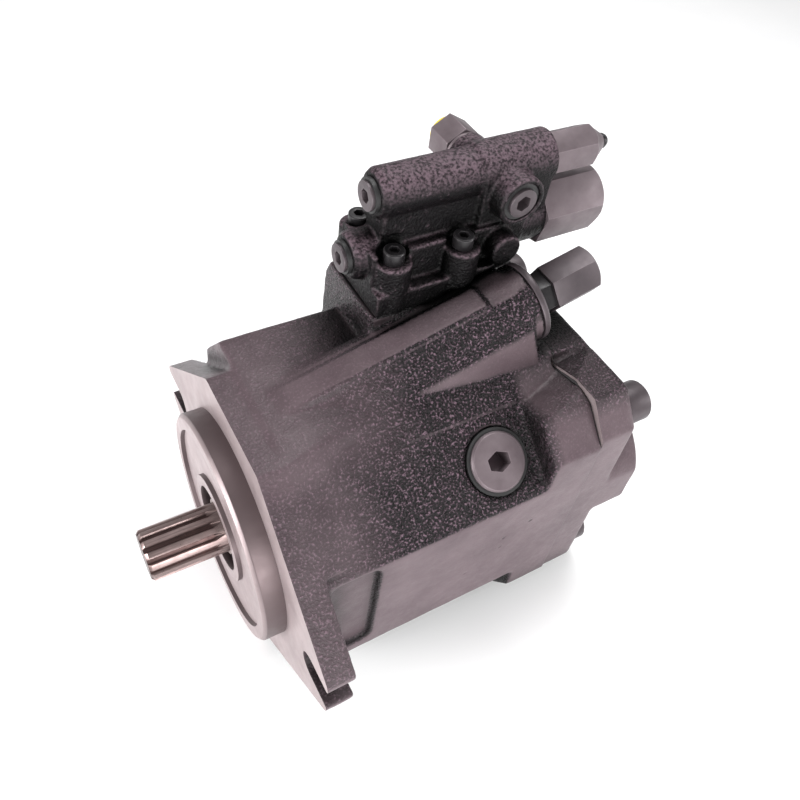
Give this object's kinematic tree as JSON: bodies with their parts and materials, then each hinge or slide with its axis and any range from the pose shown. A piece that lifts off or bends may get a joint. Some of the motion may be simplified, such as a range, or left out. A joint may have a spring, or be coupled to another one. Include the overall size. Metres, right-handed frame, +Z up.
{
  "type": "axial piston pump",
  "caption": "Variable-displacement axial piston pump with two-bolt flange, splined shaft, port plate and a top-mounted flow and pressure control valve.",
  "frame": {"origin": "centre of the pilot on the flange's mounting face", "axes": "+X rearwards along the drive shaft, +Y along the flange ears, +Z up to the control valve"},
  "size_m": [0.2225, 0.174, 0.2036],
  "materials": {
    "cast_paint": "satin, sand-cast grain",
    "machined_steel": "satin phosphated",
    "spline_steel": "hobbed, lightly oiled",
    "black_steel": "black oxide",
    "seal_rubber": "matte",
    "gasket_sheet": "matte fibre sheet",
    "bearing_steel": "ground",
    "spring_steel": "oiled",
    "bronze": "lapped",
    "block_iron": "machined",
    "yellow_plastic": "gloss"
  },
  "bodies": {
    "housing": {"pump_housing": "cast_paint", "port_plate": "cast_paint", "port_plate_gasket": "gasket_sheet", "port_plate_screws": "black_steel", "upper_drain_plug": "machined_steel", "upper_drain_plug_seal": "seal_rubber", "lower_drain_plug": "machined_steel", "lower_drain_plug_seal": "seal_rubber", "shaft_seal": "seal_rubber", "seal_snap_ring": "black_steel", "front_bearing_cup": "bearing_steel", "rear_bearing_cup": "bearing_steel", "valve_plate": "bronze", "valve_plate_pin": "bearing_steel", "cradle_bearings": "bronze", "stroking_bore_cap": "machined_steel", "stop_lock_nut": "black_steel", "stop_cap_nut": "machined_steel", "bias_spring_guide": "bearing_steel", "bias_spring": "spring_steel", "valve_body": "cast_paint", "valve_gasket": "gasket_sheet", "valve_screws": "black_steel", "flow_spool_plug": "machined_steel", "flow_spool_plug_seal": "seal_rubber", "pressure_spool_plug": "machined_steel", "pressure_spool_plug_seal": "seal_rubber", "flow_spring": "spring_steel", "pressure_spring": "spring_steel", "flow_adjuster_sleeve": "machined_steel", "pressure_adjuster_cap": "machined_steel", "side_port_plug": "machined_steel", "side_port_plug_seal": "seal_rubber", "signal_port_fitting": "machined_steel", "signal_port_cap": "yellow_plastic"},
    "rotor": {"drive_shaft": "spline_steel", "front_bearing_cone": "bearing_steel", "front_bearing_rollers": "bearing_steel", "rear_bearing_cone": "bearing_steel", "rear_bearing_rollers": "bearing_steel", "cylinder_block": "block_iron", "block_spring": "spring_steel", "block_spring_washers": "bearing_steel"},
    "piston_set": {"pistons": "bearing_steel", "slippers": "bronze", "retaining_plate": "bearing_steel", "retaining_ball": "bearing_steel", "pressure_pins": "bearing_steel"},
    "cradle": {"swashplate": "block_iron"},
    "stroker": {"stroking_piston": "bearing_steel"},
    "stroker_rod": {"stroking_rod": "bearing_steel"},
    "bias": {"bias_plunger": "bearing_steel"},
    "flow_control": {"flow_spool": "bearing_steel"},
    "pressure_control": {"pressure_spool": "bearing_steel"},
    "flow_seat": {"flow_spring_seat": "bearing_steel"},
    "pressure_seat": {"pressure_spring_seat": "bearing_steel"},
    "flow_screw": {"flow_adjusting_screw": "black_steel"},
    "pressure_screw": {"pressure_adjusting_screw": "black_steel"},
    "stop": {"stop_screw": "black_steel"}
  },
  "joints": [
    {"name": "shaft_spin", "type": "hinge", "parent": "housing", "child": "rotor", "pos_m": [0, 0, 0], "axis": [1, 0, 0], "continuous": true},
    {"name": "swashplate_tilt", "type": "hinge", "parent": "housing", "child": "cradle", "pos_m": [0.052, 0, 0], "axis": [0, 1, 0], "range_deg": [0, 18], "deforming": ["bias_spring"]},
    {"name": "piston_stroke", "type": "slide", "parent": "rotor", "child": "piston_set", "axis": [1, 0, 0], "range_m": [0, 0.0122]},
    {"name": "stroking_piston_slide", "type": "slide", "parent": "housing", "child": "stroker", "axis": [0.9659, 0, 0.2588], "range_m": [0, 0.0117]},
    {"name": "stroking_rod_swing", "type": "hinge", "parent": "stroker", "child": "stroker_rod", "pos_m": [0.1, 0.003, 0.06841], "axis": [0, 1, 0], "range_deg": [-10.6, 0]},
    {"name": "bias_plunger_slide", "type": "slide", "parent": "housing", "child": "bias", "axis": [1, 0, 0], "range_m": [-0.0156, 0]},
    {"name": "flow_spool_slide", "type": "slide", "parent": "housing", "child": "flow_control", "axis": [1, 0, 0], "range_m": [-0.0025, 0], "stiffness_N_per_m": 2000},
    {"name": "pressure_spool_slide", "type": "slide", "parent": "housing", "child": "pressure_control", "axis": [1, 0, 0], "range_m": [-0.0025, 0], "stiffness_N_per_m": 2000},
    {"name": "flow_screw_turn", "type": "hinge", "parent": "housing", "child": "flow_screw", "pos_m": [0.16, 0.032, 0.1267], "axis": [1, 0, 0], "range_deg": [-180, 0], "deforming": ["flow_spring"]},
    {"name": "flow_seat_slide", "type": "slide", "parent": "housing", "child": "flow_seat", "axis": [1, 0, 0], "range_m": [-0.0005, 0]},
    {"name": "pressure_screw_turn", "type": "hinge", "parent": "housing", "child": "pressure_screw", "pos_m": [0.16, 0.032, 0.101], "axis": [1, 0, 0], "range_deg": [-180, 0], "deforming": ["pressure_spring"]},
    {"name": "pressure_seat_slide", "type": "slide", "parent": "housing", "child": "pressure_seat", "axis": [1, 0, 0], "range_m": [-0.0005, 0]},
    {"name": "stop_screw_turn", "type": "hinge", "parent": "housing", "child": "stop", "pos_m": [0.13448, 0.003, 0.07765], "axis": [0.9659, 0, 0.2588], "range_deg": [-180, 180]}
  ],
  "couplings": [
    {"joint": "piston_stroke", "follows": "swashplate_tilt", "m_per_rad": 0.0385},
    {"joint": "stroking_piston_slide", "follows": "swashplate_tilt", "m_per_rad": 0.0369},
    {"joint": "stroking_rod_swing", "follows": "swashplate_tilt", "ratio": -0.58},
    {"joint": "bias_plunger_slide", "follows": "swashplate_tilt", "m_per_rad": -0.0492},
    {"joint": "flow_seat_slide", "follows": "flow_screw_turn", "m_per_rad": 0.000159},
    {"joint": "pressure_seat_slide", "follows": "pressure_screw_turn", "m_per_rad": 0.000159}
  ]
}
